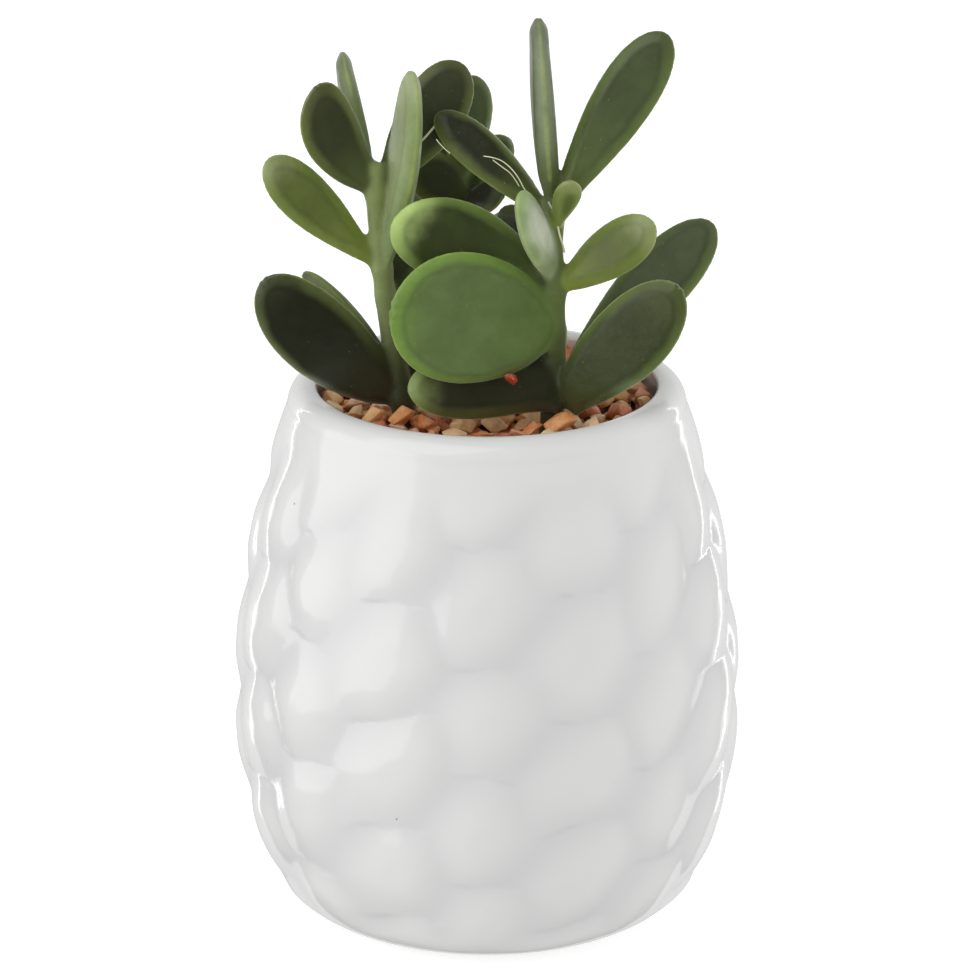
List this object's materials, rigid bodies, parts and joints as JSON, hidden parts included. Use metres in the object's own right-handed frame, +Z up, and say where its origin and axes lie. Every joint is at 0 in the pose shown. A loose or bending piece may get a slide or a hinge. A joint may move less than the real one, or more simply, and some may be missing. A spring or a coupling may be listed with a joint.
{
  "type": "potted trumpet jade succulent",
  "caption": "Small potted succulent with thick paddle leaves on upright stems, gravel topping and a dimpled egg-shaped pot.",
  "frame": {"origin": "middle of the pot's foot, on the surface it stands on", "axes": "+Z up through the pot's axis, -Y towards the front that shows the two tall stems, +X to the right seen from there"},
  "size_m": [0.0764, 0.0764, 0.1387],
  "materials": {
    "glaze": "glossy white glaze over soft raised bumps",
    "soil": "dark loose potting soil",
    "gravel": "small tumbled orange and tan pebbles",
    "leaf": "smooth fleshy green with a soft waxy sheen and paler edges"
  },
  "bodies": {
    "root": {"pot": "glaze", "soil": "soil", "gravel": "gravel", "stem_left": "leaf", "stem_right": "leaf", "stem_back": "leaf"}
  },
  "joints": []
}
